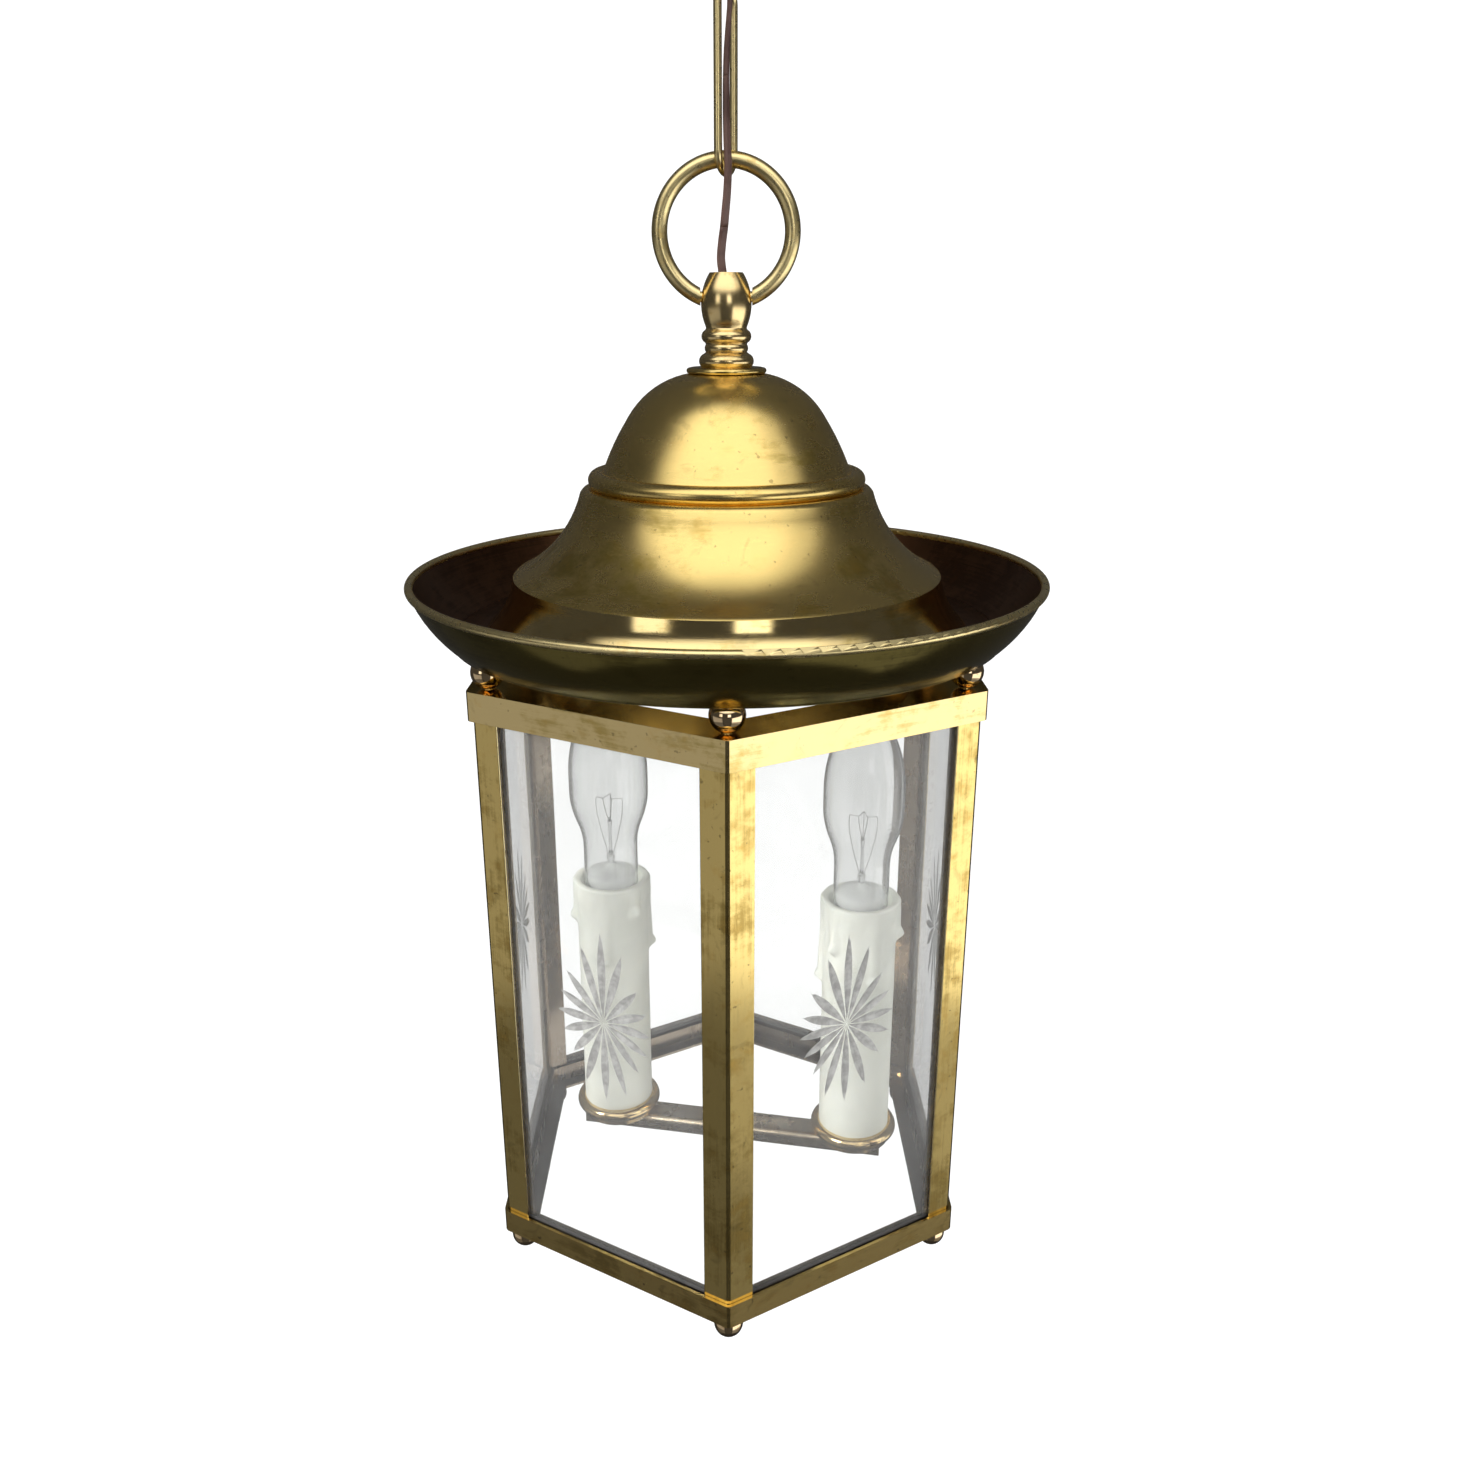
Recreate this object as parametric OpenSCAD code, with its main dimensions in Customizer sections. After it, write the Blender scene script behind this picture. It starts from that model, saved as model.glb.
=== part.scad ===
// Hexagonal brass hanging lantern with two electric candles.
// Millimetres, +Z up. The origin is the centre of the ceiling rose's top face, which meets the ceiling.
// Everything below the rose is drawn from the cage's top edge, which is the level z = 0 inside hung().

/* [Cage] */
// Radius of the top frame's corners
cage_r = 104; // [100:1:108]
// Height of the cage, from the top edge of the top frame to the top edge of the bottom frame
cage_h = 216.9; // [210:0.1:225]
// Height of the top frame's outer wall
top_wall_h = 10.7; // [9:0.1:12]
// Width of the top frame's flat flange
top_flange_w = 16.5; // [15:0.1:17]
// Height of the bottom frame's outer wall
base_wall_h = 9.6; // [9:0.1:11]
// Width of each side of a corner post
post_w = 10.3; // [9:0.1:12]
// Thickness of the glass panes
glass_t = 2.4; // [2:0.1:2.6]

/* [Roof] */
// Radius of the pan at its rolled rim
pan_r = 117.8; // [114:0.1:120]
// Radius of the dome's foot
dome_foot_r = 89.6; // [88.5:0.1:91]
// Thickness of the spun brass
spun_t = 1; // [0.8:0.1:1.2]
// Diameter of the six balls under the pan
spacer_ball_d = 11.8; // [11.4:0.1:12.5]
// Diameter of the six ball feet
foot_ball_d = 10.9; // [10:0.1:12]

/* [Hanging] */
// Distance from the ceiling to the cage's top edge
drop = 252; // [251:0.5:256]
// Outer diameter of the hanging ring
ring_d = 51.5; // [50:0.1:53]
// Thickness of the hanging ring's wire
ring_wire_d = 5.5; // [5:0.1:5.5]
// Thickness of the chain link's wire
link_wire_d = 2.8; // [2.5:0.1:2.8]
// Angle of the chain link, turned from the front view
link_turn = 24; // [22:1:28]
// Thickness of the flex
flex_d = 2.8; // [2.4:0.1:2.8]

/* [Candles] */
// Distance between the two candles
candle_gap = 102.6; // [98:0.1:104]
// How far the pair of candles stands to the right of the stem
candle_shift = 2.6; // [0:0.1:3]
// Angle of the candle bar, its right end turned to the front
bar_turn = 11; // [0:1:14]
// Height of a candle sleeve
sleeve_h = 110; // [98:0.1:112]
// Outer diameter of a candle sleeve
sleeve_d = 29.2; // [28:0.1:30]

/* [Hidden] */
$fn = 96;
eps = 0.05;
BRASS = "#b08d3c";
BRIGHT_BRASS = "#c9a24c";
DARK_BRASS = "#6d5a2c";

// Cage: distances from the axis, measured to the flat sides
flat = cos(30);
base_r = cage_r - 0.6;
top_wall_t = 1.6;
base_wall_t = 1.2;
frame_corner_r = 2.5;
post_t = 1.5;
post_r = base_r - base_wall_t / flat - 0.1;
pane_face = post_r * flat - post_t - 0.1;
pane_gap = 0.2;
retainer_t = 1;
retainer_w = 8;
retainer_r = (pane_face - glass_t - 0.1) / flat;

// Cage: heights
base_top_z = -cage_h;
shelf_z = base_top_z - 1.1;
base_bottom_z = base_top_z - base_wall_h;
shelf_w = 7.5;
ledge_w = 13;
base_flat = base_r * flat;

// Roof
stud_r = 2;
ball_at_r = 95.6;
foot_at_r = 95;
ball_cut = 0.15;
foot_cut = 1.1;
foot_stud_h = 5;
pan_z = spacer_ball_d - 2 * ball_cut;
floor_z = pan_z + spun_t;
pan_hole_r = 70;
pan_step_r = 98.4;
pan_foot_r = 103;
pan_foot_z = 9.8;
rim_bead_r = 1.5;
pan_rim_z = 30.6;
crown_z = 102.7;
crown_flat_r = 13;
bead_at = [47.2, 65.7];
bead_r = 3.4;

// Finial and hanging ring
stem_r = 5;
stem_bore_r = 3.5;
finial_z = crown_z + 2.1;
finial_top_z = 136.4;
socket_top_z = 116;
ring_r = (ring_d - ring_wire_d) / 2;
ring_z = 149.5;
pivot_z = 128.4;
pin_r = 1.8;
pin_gap = 0.05;
ring_cut_x = 9.1;
pin_end_x = 4.8;

// Chain link, hook and rose
contact_gap = 0.2;
link_low_z = ring_z + ring_r - (ring_wire_d + link_wire_d) / 2 - contact_gap;
link_bow_r = 6.5;
link_mean_h = 57;
link_high_z = link_low_z + link_mean_h;
hook_wire_d = 3.5;
hook_r = 8;
hook_low_z = link_high_z - (hook_wire_d + link_wire_d) / 2 - contact_gap;
hook_z = hook_low_z + hook_r;
ring_pivot_z = ring_z + ring_r - ring_wire_d / 2 - contact_gap / 2;
link_pivot_z = link_high_z - link_wire_d / 2 - contact_gap / 2;
rose_r = 32;
rose_t = 1.2;
boss_z = hook_z + hook_r + hook_wire_d / 2 + 0.4;
rose_hole_at = 20;
rose_hole_r = 2.25;
plate_t = 1.2;
wiring_hole_at = 14;
wiring_hole_r = 6;
flex_hole_at = [1.4, -5.4];
bush_r = 3.2;

// Flex: half the clear length left at each pivot that it crosses, and its route as [x, y, z]
flex_gap = 0.8;
FLEX = [
    [0, 0, 128.6], [-0.6, 0, 132], [-1.3, -0.4, 136.5], [-1.8, -1, 141], [-1.4, -2, 146],
    [-0.7, -3.2, 151], [-0.2, -4.4, 156], [0.3, -5.5, 161], [0.6, -6.1, 166], [0.7, -6.2, 171],
    [0.4, -5.4, 177], [0.2, -4.9, 183], [0.1, -4.6, 190], [0.1, -4.6, 197], [0.3, -4.6, 204],
    [0.8, -5, 211], [1.3, -5.4, 217], [1.5, -5.5, 223], [1.4, -5.4, 230], [1.4, -5.4, 242]
];

// Candles
bar_top_z = -210;
bar_h = 6.4;
bar_w = 13;
bar_l = 128.2;
bar_shift = 1.7;
bar_t = 1.2;
bar_bend_r = 2.5;
stem_nut_h = 3.5;
neck_r = 3.5;
neck_bore_r = 2.7;
under_nut_w = 8.6;
under_nut_h = 2;
stem_low_z = bar_top_z - bar_t - under_nut_h - 0.2;
cup_floor = 1.5;
cup_bead_r = 2.5;
cup_bead_at_r = 15.4;
cup_bead_z = bar_top_z + 4.8;
sleeve_z = bar_top_z + cup_floor;
sleeve_top_z = sleeve_z + sleeve_h;
sleeve_bore_r = 12.4;
holder_top_z = sleeve_top_z - 6;
holder_h = 27;
holder_r = 11.4;
holder_floor = 3;
cap_r = 6.7;
cap_bore_r = 7.05;
cap_h = 23.3;
glass_low_z = holder_top_z + 0.4;
bulb_neck_r = 11;
bulb_r = 15.9;
bulb_wall = 0.8;
wire_d = 1.4;
wire_offset = wire_d / 2 + 0.1;
wire_reach = 50;
WIRE = [
    [0, 0, 112], [0, 0, 60], [0, 0, 0], [0, 0, -60], [0, 0, -120], [0, 0, -180], [0, 0, -208],
    [0.2, 0, -211.5], [0.9, 0, -213.6], [2.6, 0, -214.7], [6, 0, -214.9], [16, 0, -214.9], [28, 0, -214.9],
    [40, 0, -214.9], [46, 0, -214.9], [48.6, 0, -214.5], [49.7, 0, -213.2], [50, 0, -211], [50, 0, -205],
    [50, 0, -180], [50, 0, -150], [50, 0, -130]
];

// Place of a candle along the bar
function candle_x(side) = side * candle_gap / 2 + candle_shift;

// Place what is measured from the cage's top edge
module hung() {
    translate([0, 0, -drop]) children();
}

// n + 1 points from a to b on an arc whose middle stands h to the left of the line from a to b
function arc(a, b, h, n) =
    let (
        along = (b - a) / norm(b - a),
        left = [-along[1], along[0]],
        half = norm(b - a) / 2,
        r = (half * half + h * h) / (2 * h),
        centre = (a + b) / 2 + left * (h - r),
        t = asin(half / r)
    )
    [for (i = [0 : n]) let (s = t * (1 - 2 * i / n)) centre + (left * cos(s) - along * sin(s)) * r];

// Points on a circle, from angle a to angle b
function turn(centre, r, a, b, n) =
    [for (i = [0 : n]) let (s = a + (b - a) * i / n) centre + r * [cos(s), sin(s)]];

// Unit vector to the left of an open line at its point i
function left_at(p, i) =
    let (d = p[min(i + 1, len(p) - 1)] - p[max(i - 1, 0)])
    [-d[1], d[0]] / norm(d);

// Closed outline of a wall t thick on the left of line p, with its first end cut level
function wall(p, t) =
    concat(p, [for (i = [len(p) - 1 : -1 : 0]) p[i] + t * (i == 0 ? [-1, 0] : left_at(p, i))]);

// Outline of a hexagon with its corners rounded, corner 0 at the front
function hexagon(r, corner) = [
    for (k = [0 : 5])
        each turn((r - corner / flat) * [cos(60 * k - 90), sin(60 * k - 90)], corner, 60 * k - 120, 60 * k - 60, 4)
];

module hex_prism(r, low, high, corner = 0.6) {
    translate([0, 0, low]) linear_extrude(high - low) polygon(hexagon(r, corner));
}

module spun(outline) {
    rotate_extrude() polygon(outline);
}

module rod(r, low, high) {
    translate([0, 0, low]) cylinder(r = r, h = high - low);
}

module tube(r, bore, low, high) {
    difference() {
        rod(r, low, high);
        rod(bore, low - 1, high + 1);
    }
}

// Hexagon nut, measured across its flats
module nut(across, bore, low, high) {
    difference() {
        translate([0, 0, low]) cylinder(r = across / 2 / flat, h = high - low, $fn = 6);
        rod(bore, low - 1, high + 1);
    }
}

// Six copies on the corners of the cage, at radius r
module at_corners(r) {
    for (k = [0 : 5]) rotate([0, 0, 60 * k]) translate([0, -r, 0]) children();
}

// Right angle of 120 degrees on the front corner, folded round its outer edge
module corner_angle(r, w, t, fold, low, high) {
    side = [flat, 0.5];
    inward = [-0.5, flat];
    far = [0, -r] + side * w;
    outline = concat(
        turn([0, -(r - fold / flat)], fold, -120, -60, 5),
        [far, far + inward * t, [0, -(r - t / flat)], [-far[0] - inward[0] * t, far[1] + inward[1] * t], [-far[0], far[1]]]
    );
    translate([0, 0, low]) linear_extrude(high - low) polygon(outline);
}

// Points of a smooth curve through list p, with n steps to each stretch
function smooth(p, n) = [
    for (i = [0 : len(p) - 2], j = [0 : n - 1])
        let (
            a = p[max(i - 1, 0)], b = p[i], c = p[i + 1], d = p[min(i + 2, len(p) - 1)],
            t = j / n
        )
        (2 * b + (c - a) * t + (2 * a - 5 * b + 4 * c - d) * t * t + (3 * b - a - 3 * c + d) * t * t * t) / 2,
    p[len(p) - 1]
];

// Round tube along the points of p; sideways is a direction that the route never takes
module sweep(p, r, sides, sideways) {
    last = len(p) - 1;
    rings = [
        for (i = [0 : last])
            let (
                d = p[min(i + 1, last)] - p[max(i - 1, 0)],
                u = cross(d, sideways) / norm(cross(d, sideways)),
                v = cross(d, u) / norm(d)
            )
            each [for (k = [0 : sides - 1]) p[i] + r * (u * cos(360 * k / sides) + v * sin(360 * k / sides))]
    ];
    skin = [
        for (i = [0 : last - 1], k = [0 : sides - 1])
            let (m = (k + 1) % sides)
            [i * sides + k, (i + 1) * sides + k, (i + 1) * sides + m, i * sides + m]
    ];
    ends = [[for (k = [0 : sides - 1]) k], [for (k = [sides - 1 : -1 : 0]) last * sides + k]];
    polyhedron(rings, concat(skin, ends));
}

// The stretch of flex between two heights
module flex(low, high) {
    route = smooth(FLEX, 2);
    inner = [for (q = route) if (q[2] > low + 1 && q[2] < high - 1) q];
    ends = [for (z = [low, high]) flex_at(route, z)];
    sweep(concat([ends[0]], inner, [ends[1]]), flex_d / 2, 8, [0, 1, 0]);
}

// Point of a rising route at height z
function flex_at(route, z) =
    let (
        i = max([for (j = [0 : len(route) - 2]) if (route[j][2] <= z) j]),
        s = (z - route[i][2]) / (route[i + 1][2] - route[i][2])
    )
    route[i] * (1 - s) + route[i + 1] * s;

// ---- Ceiling ----

module ceiling_rose() {
    color(BRASS) hung() difference() {
        spun(concat(
            [[rose_r, drop]],
            arc([rose_r, drop - 1.6], [9, boss_z + 2.5], 1.5, 8),
            arc([8, boss_z + 1.2], [6.6, boss_z], -0.5, 3),
            [[0, boss_z], [0, boss_z + rose_t]],
            [[6.2, boss_z + rose_t]],
            arc([8.6, boss_z + 2.5 + rose_t], [rose_r - rose_t, drop - plate_t], -1.5, 8),
            [[rose_r - rose_t, drop]]
        ));
        rod(hook_wire_d / 2 + eps, boss_z - 1, drop);
        translate(flex_hole_at) rod(bush_r - 0.9, boss_z - 1, drop);
        for (x = [-rose_hole_at, rose_hole_at]) translate([x, 0, 0]) rod(rose_hole_r, boss_z, drop);
    }
}

// Flat plate in the rose's mouth, with two screw holes and a hole for the wiring
module ceiling_plate() {
    color(DARK_BRASS) hung() difference() {
        rod(rose_r - rose_t, drop - plate_t, drop);
        translate([0, wiring_hole_at, 0]) rod(wiring_hole_r, drop - 2, drop + 1);
        for (x = [-rose_hole_at, rose_hole_at]) translate([x, 0, 0]) rod(rose_hole_r, drop - 2, drop + 1);
    }
}

module ceiling_hook() {
    color(BRASS) hung() {
        translate([0, 0, hook_z]) rotate([90, 0, -link_turn])
            rotate_extrude() translate([hook_r, 0]) circle(hook_wire_d / 2, $fn = 32);
        rod(hook_wire_d / 2, hook_z + hook_r, boss_z + 7);
    }
}

module hook_nut() {
    color(BRIGHT_BRASS) hung() nut(6.4, hook_wire_d / 2, boss_z + rose_t, boss_z + rose_t + 2.8);
}

module flex_bush() {
    color("#3a2a22") hung() translate(flex_hole_at)
        tube(bush_r - 0.95, flex_d / 2 + 0.1, boss_z - 1.6, boss_z + rose_t - 0.1);
}

module flex_upper() {
    color("#5a3b30") hung() flex(link_pivot_z + flex_gap, boss_z + 3.4);
}

// ---- Chain link ----

module chain_link() {
    straight = link_mean_h - 2 * link_bow_r;
    color(BRIGHT_BRASS) hung() translate([0, 0, link_low_z + link_bow_r]) rotate([90, 0, 90 - link_turn]) {
        for (side = [-1, 1]) {
            translate([side * link_bow_r, straight, 0]) rotate([90, 0, 0]) cylinder(d = link_wire_d, h = straight, $fn = 32);
        }
        rotate([0, 0, 180]) bow();
        translate([0, straight, 0]) bow();
    }
}

// Half ring at one end of the chain link
module bow() {
    rotate_extrude(angle = 180) translate([link_bow_r, 0]) circle(d = link_wire_d, $fn = 32);
}

module flex_middle() {
    color("#5a3b30") hung() flex(ring_pivot_z + flex_gap, link_pivot_z - flex_gap);
}

// ---- Hanging ring ----

module hanging_ring() {
    cut = acos(ring_cut_x / ring_r);
    color(BRIGHT_BRASS) hung() {
        translate([0, 0, ring_z]) rotate([90, 0, 0]) difference() {
            rotate_extrude() translate([ring_r, 0]) circle(ring_wire_d / 2, $fn = 32);
            translate([-ring_cut_x, -2 * ring_r, -10]) cube([2 * ring_cut_x, 1.8 * ring_r, 20]);
        }
        for (side = [-1, 1]) {
            translate([0, 0, pivot_z]) rotate([0, side * 90, 0]) rod(pin_r, pin_end_x, ring_cut_x + 0.8);
        }
    }
}

module flex_lower() {
    color("#5a3b30") hung() flex(pivot_z + 0.2, ring_pivot_z - flex_gap);
}

// ---- Roof ----

module finial() {
    color(BRIGHT_BRASS) hung() difference() {
        spun(concat(
            [[stem_r + eps, finial_z]],
            arc([8.9, finial_z], [8.1, 109.3], -1.25, 8),
            arc([7.3, 109.9], [7.3, 112.5], -0.45, 6),
            arc([7.5, 113], [7.5, 117.4], -1.35, 8),
            [[7.2, 118]],
            arc([7.4, 118.7], [5.85, finial_top_z], -2.2, 14),
            [[4.7, finial_top_z], [3.5, pivot_z + 2], [3.5, socket_top_z], [stem_r + eps, socket_top_z]]
        ));
        for (side = [-1, 1]) {
            translate([0, 0, pivot_z]) rotate([0, side * 90, 0]) rod(pin_r + pin_gap, 2, 12);
        }
    }
}

module dome_collar() {
    color(BRIGHT_BRASS) hung() spun(concat(
        [[stem_r + 0.2, crown_z], [crown_flat_r, crown_z]],
        arc([13.9, crown_z + 0.1], [13, finial_z - 0.2], -0.8, 8),
        [[12.6, finial_z], [stem_r + 0.2, finial_z]]
    ));
}

// Outside of the dome, from its foot to the hole in its crown
DOME = concat(
    arc([dome_foot_r, floor_z], [79.3, 31.4], 1.9, 8),
    arc([78.5, 32.2], [53.6, 61.2], 4.2, 12),
    arc([53, 62], [50.6, 62.9], -0.4, 3),
    turn(bead_at, bead_r, -60, 95, 10),
    [[45.3, 68.6]],
    arc([44.7, 69.6], [36, 86.8], -0.5, 6),
    arc([35.4, 87.8], [crown_flat_r, crown_z], -3, 10),
    [[stem_r + 0.2, crown_z]]
);

module dome() {
    color(BRASS) hung() spun(wall(DOME, spun_t));
}

module pan() {
    rim = [pan_r - rim_bead_r, pan_rim_z];
    color(DARK_BRASS) hung() {
        difference() {
            spun(concat(
                [[pan_hole_r, pan_z], [pan_step_r, pan_z]],
                arc([pan_foot_r - 2, pan_foot_z], [pan_foot_r + 0.5, pan_foot_z + 0.9], -0.5, 5),
                arc([pan_foot_r + 0.8, pan_foot_z + 1.3], rim + [0.4, -0.5], -1.5, 8),
                arc(rim + [-0.6, 0.1], [pan_foot_r - 0.1, pan_foot_z + 1.9], 1.4, 8),
                arc([pan_foot_r - 0.5, pan_foot_z + 1.4], [pan_foot_r - 1.7, pan_foot_z + 1], 0.2, 3),
                [[pan_step_r + 0.3, floor_z], [pan_hole_r, floor_z]]
            ));
            at_corners(ball_at_r) rod(stud_r, 0, 40);
        }
        translate([0, 0, pan_rim_z]) rotate_extrude() translate([rim[0], 0]) circle(rim_bead_r, $fn = 24);
    }
}

module spacer_balls() {
    color(BRIGHT_BRASS) hung() at_corners(ball_at_r) difference() {
        intersection() {
            translate([0, 0, pan_z / 2]) sphere(d = spacer_ball_d, $fn = 48);
            rod(spacer_ball_d, 0, pan_z);
        }
        rod(stud_r, -1, pan_z + 1);
    }
}

// Studs through the top flange, the balls and the pan, riveted flush at both ends
module ball_studs() {
    color(BRASS) hung() at_corners(ball_at_r) rod(stud_r, -top_wall_t, floor_z);
}

// ---- Cage ----

module top_frame() {
    color(BRASS) hung() difference() {
        hex_prism(cage_r, -top_wall_h, 0, frame_corner_r);
        hex_prism(cage_r - top_wall_t / flat, -top_wall_h - 1, -top_wall_t, 1.6);
        hex_prism(cage_r - top_flange_w / flat, -5, 1);
        at_corners(ball_at_r) rod(stud_r, -5, 1);
    }
}

module post(k) {
    color(BRASS) hung() rotate([0, 0, 60 * k])
        corner_angle(post_r, post_w, post_t, frame_corner_r, shelf_z, -top_wall_t);
}

module post_front() { post(0); }
module post_front_right() { post(1); }
module post_back_right() { post(2); }
module post_back() { post(3); }
module post_back_left() { post(4); }
module post_front_left() { post(5); }

// Pane k stands between corners k and k + 1
module pane(k) {
    width = 2 * (pane_face - glass_t) * tan(30) - 2 * pane_gap;
    color("#dfe8ea", 0.35) hung() rotate([0, 0, 60 * k - 60])
        translate([pane_face - glass_t, -width / 2, shelf_z + pane_gap])
            cube([glass_t, width, -top_wall_t - shelf_z - 2 * pane_gap]);
}

module pane_front_right() { pane(0); }
module pane_right() { pane(1); }
module pane_back_right() { pane(2); }
module pane_back_left() { pane(3); }
module pane_left() { pane(4); }
module pane_front_left() { pane(5); }

// Inner angles that hold the panes' edges against the posts
module pane_retainers() {
    color(DARK_BRASS) hung() for (k = [0 : 5]) rotate([0, 0, 60 * k])
        corner_angle(retainer_r, retainer_w, retainer_t, 0.8, shelf_z, -top_wall_t);
}

// Outer wall with a lip, a shelf for the panes, an inner wall and a ledge
module bottom_frame() {
    inner_wall = base_flat - shelf_w;
    color(BRASS) hung() difference() {
        hex_prism(base_r, base_bottom_z, base_top_z, frame_corner_r);
        hex_prism(base_r - base_wall_t / flat, shelf_z, base_top_z + 1, 1.6);
        difference() {
            hex_prism(base_r - base_wall_t / flat, base_bottom_z - 1, shelf_z - base_wall_t, 1.6);
            hex_prism((inner_wall + base_wall_t) / flat, base_bottom_z - 2, base_top_z);
        }
        hex_prism(inner_wall / flat, base_bottom_z + base_wall_t, base_top_z + 1);
        hex_prism((base_flat - ledge_w) / flat, base_bottom_z - 1, base_top_z);
        at_corners(foot_at_r) rod(stud_r, base_bottom_z - 1, base_bottom_z + foot_stud_h);
    }
}

module foot_balls() {
    color(BRIGHT_BRASS) hung() at_corners(foot_at_r) difference() {
        intersection() {
            translate([0, 0, base_bottom_z - foot_ball_d / 2 + foot_cut]) sphere(d = foot_ball_d, $fn = 48);
            rod(foot_ball_d, base_bottom_z - foot_ball_d, base_bottom_z);
        }
        rod(stud_r, base_bottom_z - foot_stud_h, base_bottom_z + 1);
    }
}

module foot_studs() {
    color(BRASS) hung() at_corners(foot_at_r)
        rod(stud_r, base_bottom_z - foot_stud_h, base_bottom_z + foot_stud_h);
}

// ---- Stem and candle bar ----

// Tube that stands on the bar, with a thinner threaded neck through it
module stem(top) {
    spun([
        [neck_bore_r, stem_low_z], [neck_r, stem_low_z], [neck_r, bar_top_z], [stem_r, bar_top_z],
        [stem_r, top], [stem_bore_r, top], [stem_bore_r, bar_top_z + 2], [neck_bore_r, bar_top_z + 1.2]
    ]);
}

module stem_tube() {
    color(BRASS) hung() stem(socket_top_z - 0.3);
}

// Nuts under the crown, above the bar and under the bar
module stem_nuts() {
    color(BRIGHT_BRASS) hung() {
        for (low = [crown_z - spun_t - stem_nut_h, bar_top_z]) nut(16, stem_r, low, low + stem_nut_h);
        nut(under_nut_w, neck_r, bar_top_z - bar_t - under_nut_h, bar_top_z - bar_t);
    }
}

// Along the bar at distance x from the stem
module on_bar(x) {
    hung() rotate([0, 0, -bar_turn]) translate([x, 0, 0]) children();
}

module candle_bar() {
    top = concat(
        turn([bar_w / 2 - bar_bend_r, bar_h - bar_bend_r], bar_bend_r, 0, 90, 6),
        turn([-bar_w / 2 + bar_bend_r, bar_h - bar_bend_r], bar_bend_r, 90, 180, 6)
    );
    fold_r = 0.3;
    fold_x = bar_w / 2 - bar_t - fold_r;
    fold_y = bar_h - bar_t - fold_r;
    inside = concat(
        turn([-fold_x, fold_y], fold_r, 180, 90, 3),
        turn([fold_x, fold_y], fold_r, 90, 0, 3)
    );
    outline = concat(
        [[bar_w / 2, 0]], top,
        [[-bar_w / 2, 0], [-bar_w / 2 + bar_t, 0]], inside, [[bar_w / 2 - bar_t, 0]]
    );
    color(BRASS) difference() {
        on_bar(bar_shift - bar_l / 2) translate([0, 0, bar_top_z - bar_h]) rotate([90, 0, 90]) linear_extrude(bar_l) polygon(outline);
        on_bar(0) rod(neck_r, bar_top_z - bar_h, bar_top_z + 1);
        for (side = [-1, 1]) on_bar(candle_x(side)) rod(neck_r, bar_top_z - bar_h, bar_top_z + 1);
    }
}

module candle_nuts() {
    color(BRIGHT_BRASS) for (side = [-1, 1]) on_bar(candle_x(side))
        nut(under_nut_w, neck_r, bar_top_z - bar_t - under_nut_h, bar_top_z - bar_t);
}

// One twin wire to each candle, down the stem, under the bar and up inside the candle
module lamp_wires() {
    color("#5a3b30") for (side = [-1, 1]) {
        reach = abs(candle_x(side)) / wire_reach;
        route = [for (q = WIRE) [side * (q[0] * reach + wire_offset), 0, q[2]]];
        on_bar(0) sweep(smooth(route, 2), wire_d / 2, 8, [0, 1, 0]);
    }
}

// ---- Candles, at side -1 or 1 of the bar ----

module candle_stem(side) {
    color(BRASS) on_bar(candle_x(side)) stem(holder_top_z - holder_h + holder_floor - 0.2);
}

module candle_cup(side) {
    color(BRIGHT_BRASS) on_bar(candle_x(side)) difference() {
        union() {
            rod(cup_bead_at_r, bar_top_z, cup_bead_z);
            translate([0, 0, cup_bead_z]) rotate_extrude()
                translate([cup_bead_at_r, 0]) circle(cup_bead_r, $fn = 32);
        }
        rod(sleeve_d / 2, sleeve_z, sleeve_top_z);
        rod(stem_r, bar_top_z - 1, sleeve_top_z);
    }
}

module candle_sleeve(side) {
    lip = 1;
    color("#ece9dd") on_bar(candle_x(side)) spun([
        [sleeve_bore_r, sleeve_z], [sleeve_d / 2, sleeve_z], [sleeve_d / 2, sleeve_top_z - lip],
        [sleeve_d / 2 - 0.4, sleeve_top_z - lip * 0.3], [sleeve_d / 2 - lip, sleeve_top_z],
        [sleeve_bore_r + 0.4, sleeve_top_z], [sleeve_bore_r, sleeve_top_z - 0.6]
    ]);
}

module lampholder(side) {
    low = holder_top_z - holder_h;
    color("#2b2a28") on_bar(candle_x(side)) difference() {
        rod(holder_r, low, holder_top_z);
        rod(cap_bore_r, low + holder_floor, holder_top_z + 1);
        rod(stem_r, low - 1, low + holder_floor - 0.2);
        rod(1.6, low, low + holder_floor + 1);
    }
}

// Middle contact of the lampholder, under the lamp's tip
module holder_contact(side) {
    floor_at = holder_top_z - holder_h + holder_floor;
    color(BRIGHT_BRASS) on_bar(candle_x(side)) rod(3, floor_at, floor_at + 0.8);
}

module candle_stem_left() { candle_stem(-1); }
module candle_cup_left() { candle_cup(-1); }
module candle_sleeve_left() { candle_sleeve(-1); }
module lampholder_left() { lampholder(-1); }
module holder_contact_left() { holder_contact(-1); }
module candle_stem_right() { candle_stem(1); }
module candle_cup_right() { candle_cup(1); }
module candle_sleeve_right() { candle_sleeve(1); }
module lampholder_right() { lampholder(1); }
module holder_contact_right() { holder_contact(1); }

// ---- Lamps ----

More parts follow.
